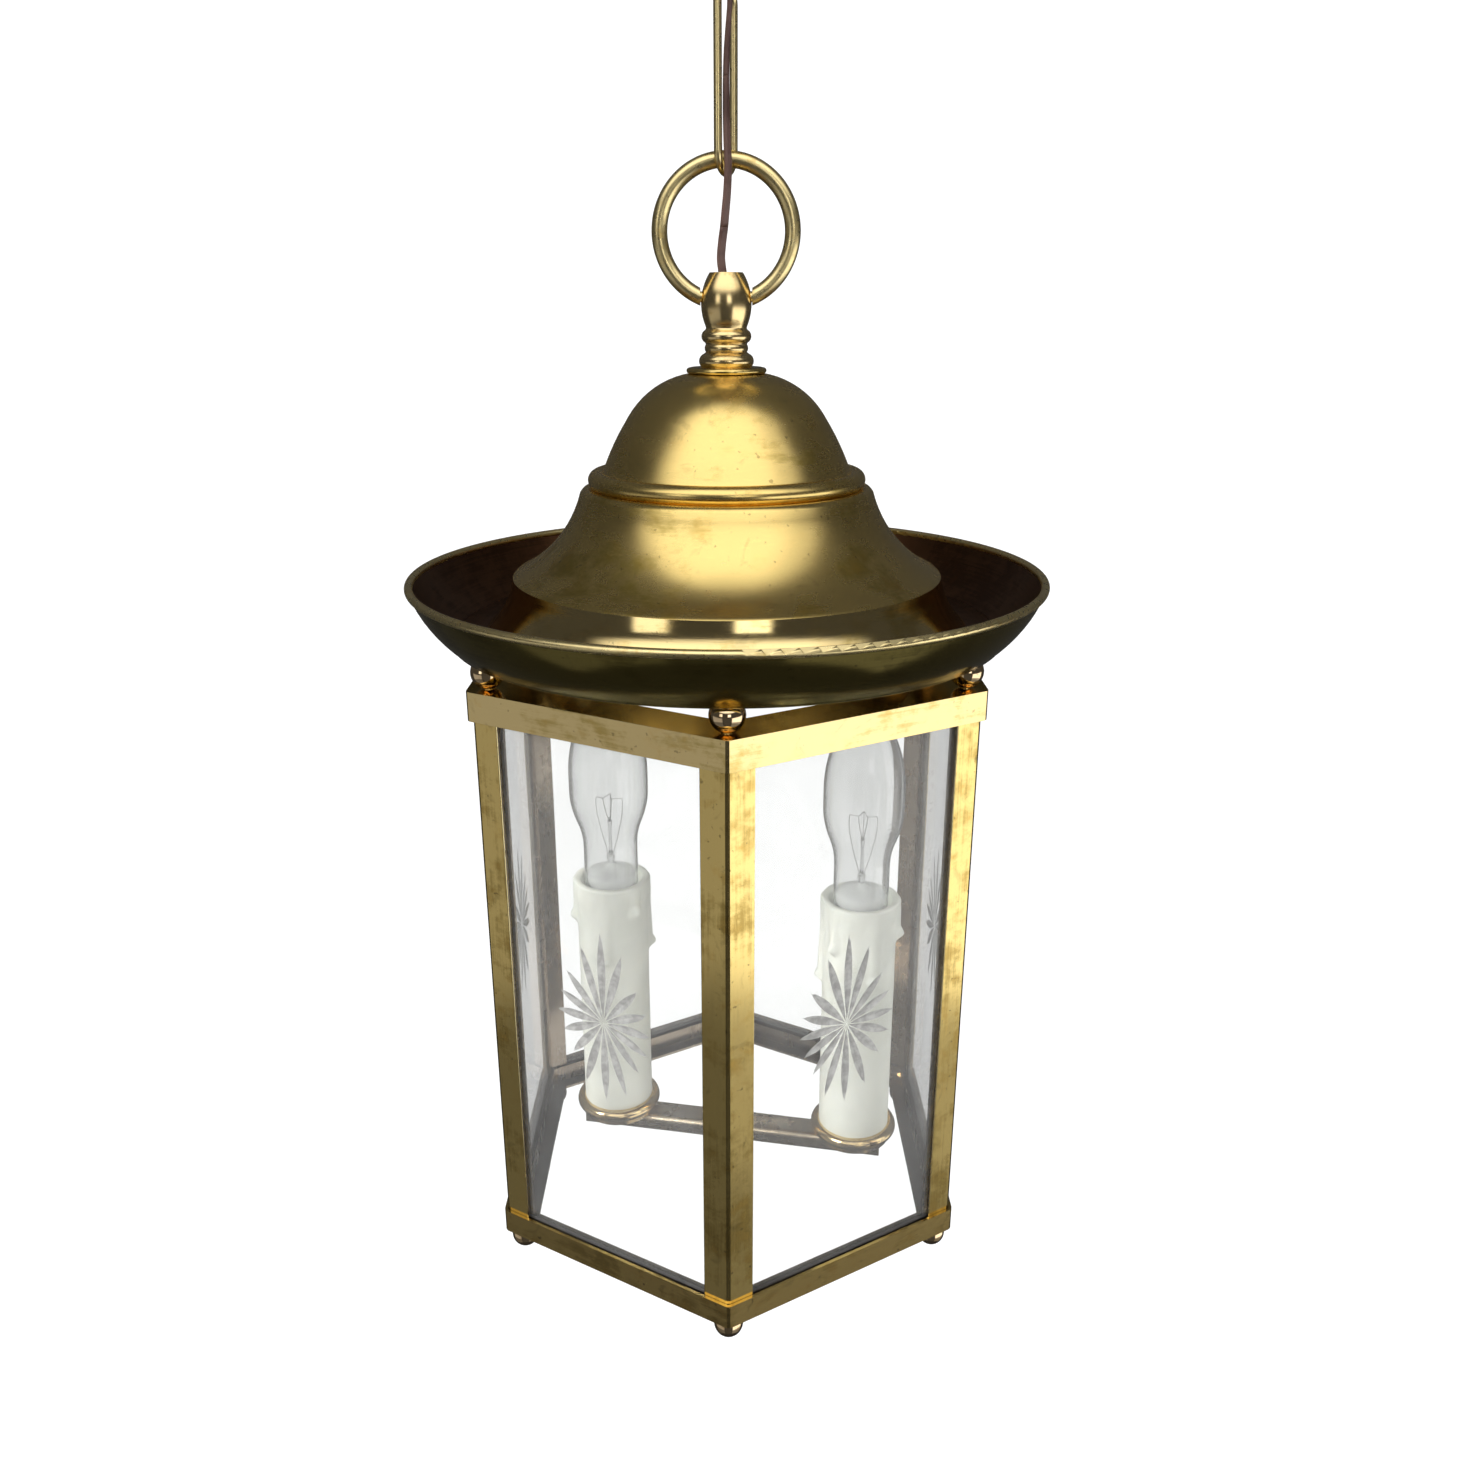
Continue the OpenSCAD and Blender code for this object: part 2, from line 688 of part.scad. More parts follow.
// Outside of the lamp's glass, from the cap to its tip
BULB = concat(
    [[cap_r - 0.6, glass_low_z]],
    arc([8.6, glass_low_z + 0.6], [bulb_neck_r, glass_low_z + 4], -0.8, 5),
    arc([bulb_neck_r, glass_low_z + 20], [13.2, glass_low_z + 31], 0.55, 5),
    arc([13.4, glass_low_z + 31.6], [bulb_r, glass_low_z + 44.5], -0.66, 6),
    arc([bulb_r, glass_low_z + 52], [5.2, glass_low_z + 83.6], -2.7, 12),
    arc([4.6, glass_low_z + 84.1], [0.8, glass_low_z + 86], -0.4, 4),
    [[0, glass_low_z + 86]]
);

module bulb_glass(side) {
    color("#eef3f4", 0.35) on_bar(candle_x(side)) spun(wall(BULB, bulb_wall));
}

module bulb_cap(side) {
    tip_z = glass_low_z - cap_h;
    color("#c9c6bd") on_bar(candle_x(side)) spun([
        [0, tip_z], [2.2, tip_z], [2.6, tip_z + 1.4], [5.6, tip_z + 3.4], [cap_r, tip_z + 4.4],
        [cap_r, glass_low_z - 0.05], [0, glass_low_z - 0.05]
    ]);
}

// Glass foot, two support wires and the filament
module bulb_mount(side) {
    low = glass_low_z;
    color("#8d8a84") on_bar(candle_x(side)) {
        rod(2.4, low, low + 14);
        for (x = [-1.4, 1.4]) translate([x, 0, 0]) rod(0.35, low + 13.5, low + 52);
        translate([-1.4, 0, low + 52]) rotate([0, 90, 0]) rod(0.35, 0, 2.8);
    }
}

module bulb_glass_left() { bulb_glass(-1); }
module bulb_cap_left() { bulb_cap(-1); }
module bulb_mount_left() { bulb_mount(-1); }
module bulb_glass_right() { bulb_glass(1); }
module bulb_cap_right() { bulb_cap(1); }
module bulb_mount_right() { bulb_mount(1); }

ceiling_rose();
ceiling_plate();
ceiling_hook();
hook_nut();
flex_bush();
flex_upper();
chain_link();
flex_middle();
hanging_ring();
flex_lower();
finial();
dome_collar();
dome();
pan();
spacer_balls();
ball_studs();
top_frame();
post_front();
post_front_right();
post_back_right();
post_back();
post_back_left();
post_front_left();
pane_front_right();
pane_right();
pane_back_right();
pane_back_left();
pane_left();
pane_front_left();
pane_retainers();
bottom_frame();
foot_balls();
foot_studs();
stem_tube();
stem_nuts();
candle_bar();
candle_nuts();
lamp_wires();
candle_stem_left();
candle_cup_left();
candle_sleeve_left();
lampholder_left();
holder_contact_left();
candle_stem_right();
candle_cup_right();
candle_sleeve_right();
lampholder_right();
holder_contact_right();
bulb_glass_left();
bulb_cap_left();
bulb_mount_left();
bulb_glass_right();
bulb_cap_right();
bulb_mount_right();
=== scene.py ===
"""Hanging hexagonal lantern with two imitation candles: its looks, cord, camera and lights."""

import math

import bmesh
import bpy
from mathutils import Matrix, Vector, noise


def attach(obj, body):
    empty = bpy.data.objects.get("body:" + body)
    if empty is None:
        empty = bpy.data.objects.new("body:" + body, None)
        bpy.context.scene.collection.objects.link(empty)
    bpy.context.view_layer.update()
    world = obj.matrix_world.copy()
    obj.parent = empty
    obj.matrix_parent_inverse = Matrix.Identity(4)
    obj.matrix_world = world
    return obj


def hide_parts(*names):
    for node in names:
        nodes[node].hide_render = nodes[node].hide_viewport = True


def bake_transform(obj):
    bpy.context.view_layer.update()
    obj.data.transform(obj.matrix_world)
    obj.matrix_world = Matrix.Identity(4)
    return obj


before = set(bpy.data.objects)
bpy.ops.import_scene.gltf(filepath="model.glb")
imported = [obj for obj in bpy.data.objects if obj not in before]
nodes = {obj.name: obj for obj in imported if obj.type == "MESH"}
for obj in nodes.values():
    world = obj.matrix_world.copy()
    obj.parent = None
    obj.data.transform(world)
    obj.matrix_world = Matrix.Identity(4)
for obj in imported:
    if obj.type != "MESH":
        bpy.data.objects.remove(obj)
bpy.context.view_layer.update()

# Lengths are in millimetres from the cage's top edge, as in part.scad, until mesh() makes metres of them.
DROP = 252
SIDES = ("left", "right")
CORNERS = ("front", "front_right", "back_right", "back", "back_left", "front_left")
# The candles stand on a bar turned a little from the cage's corners, not evenly about the stem.
BAR_TURN = -11
CANDLE_ALONG = {"left": -48.7, "right": 53.9}


# ---- Camera ----

# A least-squares fit to the cage's corners, the frames' edges and the pan's rim in the photo
CAMERA_AT = (0, -0.45916, -0.12730)
CAMERA_DOWN, CAMERA_PAN, CAMERA_ROLL = 18.756, -0.06, -0.11

camera = bpy.data.objects.new("camera", bpy.data.cameras.new("camera"))
bpy.context.scene.collection.objects.link(camera)
camera.data.lens = 30.605
camera.data.sensor_width = 36
camera.data.clip_start = 0.01
camera.matrix_world = (
    Matrix.Translation(CAMERA_AT)
    @ Matrix.Rotation(math.radians(CAMERA_PAN), 4, "Z")
    @ Matrix.Rotation(math.radians(90 - CAMERA_DOWN), 4, "X")
    @ Matrix.Rotation(math.radians(CAMERA_ROLL), 4, "Z")
)
bpy.context.scene.camera = camera
bpy.context.scene.view_settings.view_transform = "Standard"


# ---- Meshes ----


def mesh(name, points, faces, smooth=True):
    """A mesh object from points in millimetres."""
    data = bpy.data.meshes.new(name)
    data.from_pydata(
        [(x / 1000, y / 1000, (z - DROP) / 1000) for x, y, z in points], [], faces
    )
    data.validate()
    bm = bmesh.new()
    bm.from_mesh(data)
    bmesh.ops.recalc_face_normals(bm, faces=bm.faces)
    bm.to_mesh(data)
    bm.free()
    data.polygons.foreach_set("use_smooth", [smooth] * len(data.polygons))
    made = bpy.data.objects.new(name, data)
    bpy.context.scene.collection.objects.link(made)
    return made


def rings(loops, closed=False):
    """Faces between loops of points, with flat ends, or none where the last loop meets the first."""
    n = len(loops[0])
    faces = []
    for i in range(len(loops) if closed else len(loops) - 1):
        a, b = i * n, (i + 1) % len(loops) * n
        faces += [(a + j, a + (j + 1) % n, b + (j + 1) % n, b + j) for j in range(n)]
    if not closed:
        faces += [
            tuple(reversed(range(n))),
            tuple(range((len(loops) - 1) * n, len(loops) * n)),
        ]
    return [p for loop in loops for p in loop], faces


def curve(points, step):
    """A smooth line through the points, in steps of about that length."""
    p = [Vector(q) for q in points]
    p = [2 * p[0] - p[1], *p, 2 * p[-1] - p[-2]]
    line = []
    for a, b, c, d in zip(p, p[1:], p[2:], p[3:]):
        n = max(1, round((c - b).length / step))
        for i in range(n):
            t = i / n
            line.append(
                (
                    2 * b
                    + (c - a) * t
                    + (2 * a - 5 * b + 4 * c - d) * t * t
                    + (3 * b - a - 3 * c + d) * t**3
                )
                / 2
            )
    return [*line, p[-2]]


def sweep(line, outline, twist=0.0, start=0.0, side=Vector((1, 0, 0))):
    """Loops of an outline carried along a line, twisted by that many degrees a millimetre."""
    loops, along = [], start
    for i, p in enumerate(line):
        ahead = (line[min(i + 1, len(line) - 1)] - line[max(i - 1, 0)]).normalized()
        right = (side - ahead * side.dot(ahead)).normalized()
        up = ahead.cross(right)
        if i:
            along += (p - line[i - 1]).length
        a = math.radians(twist * along)
        u, v = right * math.cos(a) + up * math.sin(a), up * math.cos(a) - right * math.sin(a)
        loops.append([p + u * x + v * y for x, y in outline])
    return loops


def circle(r, n):
    """A round outline of n points."""
    return [
        (r * math.cos(2 * math.pi * i / n), r * math.sin(2 * math.pi * i / n))
        for i in range(n)
    ]


def step_between(low, high, x):
    """0 below low, 1 above high, and smooth between."""
    t = min(max((x - low) / (high - low), 0), 1)
    return t * t * (3 - 2 * t)


UP = Vector((0, 0, 1))


def heading(degrees):
    """The level direction at that many degrees round from x."""
    a = math.radians(degrees)
    return Vector((math.cos(a), math.sin(a), 0))


def candle_at(side):
    """Where a candle stands."""
    return CANDLE_ALONG[side] * heading(BAR_TURN)


# ---- Cord ----

FLEX = [
    (0, 0, 117), (0, 0, 122), (0, 0, 128.6), (-0.6, 0, 132), (-1.3, -0.4, 136.5), (-1.8, -1, 141),
    (-1.4, -2, 146), (-0.7, -3.2, 151), (-0.2, -4.4, 156), (0.3, -5.5, 161), (0.6, -6.1, 166),
    (0.7, -6.2, 171), (0.4, -5.4, 177), (0.2, -4.9, 183), (0.1, -4.6, 190), (0.1, -4.6, 197),
    (0.3, -4.6, 204), (0.8, -5, 211), (1.3, -5.4, 217), (1.5, -5.5, 223), (1.4, -5.4, 230),
    (1.4, -5.4, 242),
]  # fmt: skip
FLEX_W, FLEX_T = 3.0, 1.95
FLEX_LEAVES = (-1.3, -0.4, 136.5)  # the finial's mouth
FLEX_SPLITS = (151, 197)  # the heights where one stretch ends and the next begins
FLEX_TWIST = 0.9


def flex_outline():
    """Two round cores side by side in one sheath, with a shallow groove between them."""
    outline = []
    for i in range(28):
        a = 2 * math.pi * i / 28
        waist = 1 - 0.16 * math.exp(-((math.cos(a) / 0.32) ** 2))
        x, y = math.cos(a), math.sin(a)
        outline.append(
            (
                FLEX_W / 2 * math.copysign(abs(x) ** 0.82, x),
                FLEX_T / 2 * math.copysign(abs(y) ** 0.82, y) * waist,
            )
        )
    return outline


def row_frame(p):
    """A point of this script in the row frame's metres."""
    return Vector((p[0], p[1], p[2] - DROP)) / 1000


flex_line = curve(FLEX, 1.2)
flex_cuts = [0] + [
    min(range(len(flex_line)), key=lambda i, z=z: abs(flex_line[i].z - z))
    for z in FLEX_SPLITS
] + [len(flex_line) - 1]
whole_flex = sweep(flex_line, flex_outline(), twist=FLEX_TWIST)
flex_pieces = []
# Each stretch: its name and node, the cuts it runs between, the two bodies it joins, and the
# heights between which it bends from one to the other
for name, stands_for, low, high, lower, upper, bend in (
    ("cord_lower", "flex_lower", 0, 1, "lantern", "ring", (126, 137)),
    ("cord_middle", "flex_middle", 1, 2, "ring", "link", (163, 176)),
    ("cord_upper", "flex_upper", 2, 3, "link", "root", (217, 230)),
):
    first, last = flex_cuts[low], flex_cuts[high]
    line = flex_line[first : last + 1]
    piece = mesh(name, *rings(whole_flex[first : last + 1]))
    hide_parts(stands_for)
    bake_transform(piece)
    flex_pieces.append(piece)
    leaves = FLEX_LEAVES if low == 0 else line[0]
    row_frame(leaves)
    sum((b - a).length for a, b in zip(line, line[1:])) / 1000
    [row_frame(p) for p in line]


# ---- Materials ----


def put(tree, kind, sockets=None, **settings):
    """A node, with its settings, and its sockets given a value or linked."""
    made = tree.nodes.new(kind)
    for key, value in settings.items():
        setattr(made, key, value)
    for key, value in (sockets or {}).items():
        if isinstance(value, bpy.types.NodeSocket):
            tree.links.new(value, made.inputs[key])
        else:
            made.inputs[key].default_value = value
    return made


def calc(tree, operation, a, b=0.0, c=0.0, clamp=False):
    """A Math node's result."""
    return put(
        tree, "ShaderNodeMath", {0: a, 1: b, 2: c}, operation=operation, use_clamp=clamp
    ).outputs[0]


def times(tree, a, b):
    return calc(tree, "MULTIPLY", a, b)


def plus(tree, a, b, clamp=False):
    return calc(tree, "ADD", a, b, clamp=clamp)


def minus(tree, a, b):
    return calc(tree, "SUBTRACT", a, b)


def span(tree, value, low, high, to_low=0.0, to_high=1.0):
    """A value's smooth step from low to high."""
    return put(
        tree,
        "ShaderNodeMapRange",
        {"Value": value, "From Min": low, "From Max": high, "To Min": to_low, "To Max": to_high},
        interpolation_type="SMOOTHSTEP",
    ).outputs[0]


def mix(tree, factor, a, b):
    """Colour a, going to colour b with the factor."""
    made = put(tree, "ShaderNodeMix", data_type="RGBA", blend_type="MIX")
    for socket, value in ((made.inputs[0], factor), (made.inputs[6], a), (made.inputs[7], b)):
        if isinstance(value, bpy.types.NodeSocket):
            tree.links.new(value, socket)
        else:
            socket.default_value = (*value, 1) if isinstance(value, tuple) else value
    return made.outputs[2]


def grain(tree, vector, scale, detail=4.0, roughness=0.55, distortion=0.0):
    """Noise from 0 to 1, of that many clouds a metre."""
    return put(
        tree,
        "ShaderNodeTexNoise",
        {"Vector": vector, "Scale": scale, "Detail": detail,
         "Roughness": roughness, "Distortion": distortion},
    ).outputs[0]  # fmt: skip


def stretched(tree, vector, scale, turn=(0, 0, 0)):
    return put(
        tree, "ShaderNodeMapping", {"Vector": vector, "Scale": scale, "Rotation": turn}
    ).outputs[0]


def place(tree):
    """The point in the row frame, which moves with the part."""
    return put(tree, "ShaderNodeTexCoord").outputs["Object"]


def bumped(tree, height, distance, strength=1.0, under=None):
    """A normal dented by height, on top of the normal given as under."""
    sockets = {"Height": height, "Distance": distance, "Strength": strength}
    if under is not None:
        sockets["Normal"] = under
    return put(tree, "ShaderNodeBump", sockets).outputs[0]


def new_material(name):
    made = bpy.data.materials.new(name)
    made.use_nodes = True
    made.node_tree.nodes.clear()
    return made, made.node_tree


def surface(tree, shader):
    put(tree, "ShaderNodeOutputMaterial", {"Surface": shader})


def along_grain(tree, way, at):
    """Coordinates in which polishing marks are short across and long along."""
    if way == "upright":
        return stretched(tree, at, (1, 1, 0.035))
    if way == "level":
        return stretched(tree, at, (0.05, 0.05, 1))
    if way == "spun":
        xyz = put(tree, "ShaderNodeSeparateXYZ", {0: at}).outputs
        angle = calc(tree, "ARCTAN2", xyz[1], xyz[0])
        squares = [calc(tree, "POWER", xyz[i], 2) for i in (0, 1)]
        radius = calc(tree, "SQRT", plus(tree, *squares))
        # A small circle stands in for the way round, so that the marks have no seam.
        round_x = times(tree, calc(tree, "SINE", angle), 0.004)
        round_y = times(tree, calc(tree, "COSINE", angle), 0.004)
        across = plus(tree, xyz[2], radius)
        return put(tree, "ShaderNodeCombineXYZ", {0: round_x, 1: round_y, 2: across}).outputs[0]
    return at


SPECK_COLOUR = (0.07, 0.045, 0.015)


def brass(name, bright, dull, tarnish, rough, way, patches, age, dents):
    """Old lacquered brass: tarnish in clouds and along the polishing marks, and dark specks.
    tarnish is how much of it is dull, patches how many clouds a metre has, age how many
    specks and scratches it has, and dents how uneven it is."""
    made, tree = new_material(name)
    at = place(tree)
    run = along_grain(tree, way, at)
    clouds = grain(tree, at, patches, 6, 0.6, 0.6)
    fine_clouds = grain(tree, stretched(tree, at, (1, 1, 1.3)), patches * 5, 5, 0.62)
    lines = grain(tree, run, 520, 5, 0.65)
    hairs = grain(tree, run, 2400, 3, 0.6)
    specks = grain(tree, at, 420, 2, 0.5)
    blots = grain(tree, at, 95, 4, 0.55, 1.2)
    dullness = plus(tree, times(tree, clouds, 0.62), times(tree, fine_clouds, 0.38))
    dullness = plus(tree, dullness, times(tree, minus(tree, lines, 0.5), 0.3))
    worn = span(tree, dullness, 0.62 - tarnish * 0.3, 0.78 - tarnish * 0.3)
    colour = mix(tree, worn, bright, dull)
    warm = (bright[0], bright[1] * 0.82, bright[2] * 0.55)
    scratched = tuple(min(1, c * 1.12) for c in bright)
    for mask, amount, shade in (
        (span(tree, fine_clouds, 0.5, 0.75), 0.3, warm),
        (span(tree, blots, 0.6, 0.72), 0.4 * age, SPECK_COLOUR),
        (span(tree, specks, 0.68, 0.76), age, SPECK_COLOUR),
        (span(tree, hairs, 0.56, 0.74), 0.35, scratched),
    ):
        colour = mix(tree, times(tree, mask, amount), colour, shade)
    roughness = plus(tree, rough, times(tree, worn, 0.09))
    roughness = plus(tree, roughness, times(tree, minus(tree, lines, 0.45), 0.12), clamp=True)
    waves = bumped(tree, grain(tree, at, 26, 1, 0.4), 0.004 * dents, 0.35)
    marks = bumped(tree, lines, 0.00004, 0.25, waves)
    scratches = bumped(tree, hairs, 0.00002, 0.2 + 0.2 * age, marks)
    shader = put(
        tree,
        "ShaderNodeBsdfPrincipled",
        {"Base Color": colour, "Metallic": 1.0, "Roughness": roughness, "Normal": scratches},
    )
    surface(tree, shader.outputs[0])
    return made


def glass(name, tint, haze, dust_colour, smears, index=1.5):
    """Clear glass that lets light through to what it shades, under a thin film of dust."""
    made, tree = new_material(name)
    at = place(tree)
    wave = bumped(tree, grain(tree, stretched(tree, at, (1, 1, 0.4)), 22, 2, 0.5), 0.0006, 0.2)
    clear = put(
        tree,
        "ShaderNodeBsdfPrincipled",
        {"Base Color": (*tint, 1), "Roughness": 0.0, "IOR": index,
         "Transmission Weight": 1.0, "Normal": wave},
    ).outputs[0]  # fmt: skip
    cloud = grain(tree, at, 28, 5, 0.6, 0.8)
    wipes = grain(tree, stretched(tree, at, (2, 2, 0.25), (0.3, 0.2, 0.4)), 180, 4, 0.6)
    film = plus(tree, cloud, times(tree, minus(tree, wipes, 0.5), smears))
    film = plus(tree, haze * 0.75, times(tree, span(tree, film, 0.2, 0.8), haze * 0.5), clamp=True)
    dust = put(tree, "ShaderNodeBsdfDiffuse", {"Color": (*dust_colour, 1)}).outputs[0]
    through = put(tree, "ShaderNodeBsdfTranslucent", {"Color": (*dust_colour, 1)}).outputs[0]
    dust = put(tree, "ShaderNodeMixShader", {0: 0.5, 1: dust, 2: through}).outputs[0]
    looks = put(tree, "ShaderNodeMixShader", {0: film, 1: clear, 2: dust}).outputs[0]
    ray = put(tree, "ShaderNodeLightPath").outputs["Is Shadow Ray"]
    see_through = put(tree, "ShaderNodeBsdfTransparent", {"Color": (*tint, 1)}).outputs[0]
    surface(tree, put(tree, "ShaderNodeMixShader", {0: ray, 1: looks, 2: see_through}).outputs[0])
    return made


def frosted_cut():
    """Ground facets of the wheel-cut star."""
    made, tree = new_material("cut_star")
    at = place(tree)
    grind = grain(tree, at, 2600, 3, 0.6)
    tone = mix(
        tree, span(tree, grain(tree, at, 300, 4, 0.6), 0.35, 0.7),
        (0.27, 0.268, 0.257), (0.42, 0.417, 0.403),
    )  # fmt: skip
    shader = put(
        tree,
        "ShaderNodeBsdfPrincipled",
        {"Base Color": tone, "Roughness": plus(tree, times(tree, grind, 0.25), 0.42),
         "IOR": 1.5, "Normal": bumped(tree, grind, 0.0001, 0.5)},
    )  # fmt: skip
    surface(tree, shader.outputs[0])
    return made


def wax():
    """Moulded imitation wax, ivory with greyer clouds and brown specks of dust."""
    made, tree = new_material("sleeve")
    at = place(tree)
    clouds = grain(tree, at, 45, 5, 0.6, 0.5)
    specks = grain(tree, at, 700, 2, 0.5)
    colour = mix(tree, span(tree, clouds, 0.35, 0.7), (0.70, 0.705, 0.635), (0.61, 0.62, 0.555))
    dusty = times(tree, span(tree, specks, 0.66, 0.76), 0.25)
    colour = mix(tree, dusty, colour, (0.42, 0.37, 0.27))
    rough = plus(tree, 0.34, times(tree, clouds, 0.2))
    skin = bumped(tree, grain(tree, at, 240, 4, 0.6), 0.0004, 0.18)
    shader = put(
        tree,
        "ShaderNodeBsdfPrincipled",
        {"Base Color": colour, "Roughness": rough, "Subsurface Weight": 0.12,
         "Subsurface Radius": (0.004, 0.0035, 0.0025), "Normal": skin},
    )  # fmt: skip
    surface(tree, shader.outputs[0])
    return made


def moulded(name, colour, other, rough, scale=300.0):
    """Moulded plastic or rubber with a fine skin, clouded from one colour to the other."""
    made, tree = new_material(name)
    at = place(tree)
    tone = mix(tree, span(tree, grain(tree, at, scale / 4, 5, 0.6), 0.35, 0.7), colour, other)
    shader = put(
        tree,
        "ShaderNodeBsdfPrincipled",
        {"Base Color": tone, "Specular IOR Level": 0.5,
         "Roughness": plus(tree, rough, times(tree, grain(tree, at, scale, 3), 0.2)),
         "Normal": bumped(tree, grain(tree, at, scale * 3, 3, 0.6), 0.0001, 0.4)},
    )  # fmt: skip
    surface(tree, shader.outputs[0])
    return made


CAP_PITCH = 0.0028


def threaded_cap():
    """Nickelled screw cap with a rolled thread."""
    made, tree = new_material("lamp_cap")
    at = place(tree)
    height = put(tree, "ShaderNodeSeparateXYZ", {0: at}).outputs[2]
    thread = calc(tree, "SINE", times(tree, height, 2 * math.pi / CAP_PITCH))
    stain = grain(tree, at, 160, 5, 0.6)
    colour = mix(tree, span(tree, stain, 0.4, 0.7), (0.62, 0.6, 0.55), (0.36, 0.33, 0.27))
    shader = put(
        tree,
        "ShaderNodeBsdfPrincipled",
        {"Base Color": colour, "Metallic": 1.0,
         "Roughness": plus(tree, 0.22, times(tree, stain, 0.25)),
         "Normal": bumped(tree, thread, 0.0005, 0.6)},
    )  # fmt: skip
    surface(tree, shader.outputs[0])
    return made


GOLD, PALE, OLIVE = (0.89, 0.66, 0.24), (0.92, 0.71, 0.33), (0.46, 0.34, 0.075)
POST, POST_DULL = (0.88, 0.66, 0.24), (0.50, 0.35, 0.10)
COPPERY, COPPERY_DULL = (0.16, 0.075, 0.035), (0.08, 0.038, 0.02)
TURNED, TURNED_DULL = (0.92, 0.70, 0.34), (0.62, 0.42, 0.16)
NICKEL, NICKEL_DULL = (0.85, 0.84, 0.82), (0.66, 0.65, 0.62)
INNER, INNER_DULL = (0.40, 0.33, 0.25), (0.27, 0.22, 0.17)
# Near-black brass for the bottom frame's shelf: painted shade in the gap where the panes stand.
SHELF_SHADE, SHELF_SHADE_DULL = (0.035, 0.026, 0.02), (0.015, 0.012, 0.01)
RUBBED, RUBBED_DULL = (0.96, 0.80, 0.42), (0.74, 0.56, 0.22)
looks = {
    "dome": brass("brass_dome", GOLD, OLIVE, 0.45, 0.25, "spun", 15, 0.4, 0.04),
    "dome_band": brass("brass_dome_band", PALE, (0.66, 0.5, 0.17), 0.3, 0.09, "spun", 20, 0.35, 0.04),
    "spun": brass("brass_spun", GOLD, OLIVE, 0.45, 0.16, "spun", 30, 0.5, 0.04),
    "turned": brass("brass_turned", TURNED, TURNED_DULL, 0.4, 0.2, "spun", 40, 0.2, 0.02),
    "pan": brass("brass_pan", (0.46, 0.37, 0.11), (0.25, 0.20, 0.055), 0.5, 0.13, "spun", 17, 0.5, 0.05),
    "pan_inside": brass("brass_pan_inside", COPPERY, COPPERY_DULL, 0.5, 0.3, "spun", 24, 0.5, 0.05),
    "level": brass("brass_bands", PALE, (0.62, 0.46, 0.15), 0.42, 0.1, "level", 26, 0.4, 0.06),
    "upright": brass("brass_posts", POST, POST_DULL, 0.5, 0.11, "upright", 26, 0.5, 0.06),
    "inner": brass("brass_inside", INNER, INNER_DULL, 0.5, 0.24, "upright", 30, 0.5, 0.05),
    "base": brass("brass_base", (0.74, 0.54, 0.20), (0.44, 0.31, 0.10), 0.5, 0.13, "level", 26, 0.5, 0.06),
    "shelf_shade": brass("brass_painted_shelf_shade", SHELF_SHADE, SHELF_SHADE_DULL, 0.6, 0.4, "level", 40, 0.4, 0.05),
    "bar": brass("brass_bar", (0.62, 0.52, 0.38), (0.40, 0.32, 0.22), 0.5, 0.24, "level", 40, 0.5, 0.1),
    "cup": brass("brass_cups", (0.86, 0.66, 0.36), (0.58, 0.42, 0.2), 0.45, 0.16, "all", 60, 0.5, 0.1),
    "ball": brass("brass_balls", (0.93, 0.70, 0.42), (0.72, 0.48, 0.24), 0.35, 0.05, "all", 70, 0.35, 0.05),
    "wire": brass("brass_ring", (0.97, 0.79, 0.39), (0.80, 0.60, 0.23), 0.3, 0.28, "all", 60, 0.12, 0.03),
    "edge": brass("brass_rubbed_edge", RUBBED, RUBBED_DULL, 0.3, 0.22, "all", 60, 0.35, 0.05),
    "pane": glass("pane_glass", (0.985, 0.992, 0.988), 0.07, (0.92, 0.915, 0.91), 0.1, 1.3),
    "lamp": glass("lamp_glass", (0.95, 0.955, 0.95), 0.09, (0.80, 0.80, 0.79), 0.2),
    "milky": glass("lamp_foot", (0.95, 0.955, 0.95), 0.6, (0.92, 0.92, 0.91), 0.2),
    "cut": frosted_cut(),
    "wax": wax(),
    "holder": moulded("holder", (0.03, 0.028, 0.026), (0.055, 0.05, 0.045), 0.38),
    "flex": moulded("flex", (0.055, 0.026, 0.02), (0.11, 0.06, 0.048), 0.36),
    "bush": moulded("bush", (0.05, 0.035, 0.028), (0.09, 0.07, 0.055), 0.5),
    "cap": threaded_cap(),
    "lead": brass("lamp_lead", NICKEL, NICKEL_DULL, 0.4, 0.3, "all", 200, 0.2, 0.0),
}

# The look of each part made in the CAD, and the slot it fills
finishes = {
    "ceiling_rose": ("spun", "aged_brass"), "ceiling_plate": ("base", "brass"),
    "ceiling_hook": ("wire", "aged_brass"), "hook_nut": ("ball", "bright_brass"),
    "flex_bush": ("bush", "bush"), "chain_link": ("wire", "aged_brass"),
    "hanging_ring": ("wire", "aged_brass"), "finial": ("turned", "bright_brass"),
    "dome_collar": ("spun", "bright_brass"), "dome": ("dome", "aged_brass"),
    "pan": ("pan", "dark_brass"), "spacer_balls": ("ball", "bright_brass"),
    "ball_studs": ("cup", "brass"), "top_frame": ("level", "brass"),
    "pane_retainers": ("upright", "brass"), "bottom_frame": ("base", "brass"),
    "foot_balls": ("ball", "bright_brass"), "foot_studs": ("cup", "brass"),
    "stem_tube": ("upright", "brass"), "stem_nuts": ("ball", "bright_brass"),
    "candle_bar": ("bar", "brass"), "candle_nuts": ("ball", "bright_brass"),
    "lamp_wires": ("flex", "flex"),
}  # fmt: skip
finishes.update({f"post_{corner}": ("upright", "brass") for corner in CORNERS})
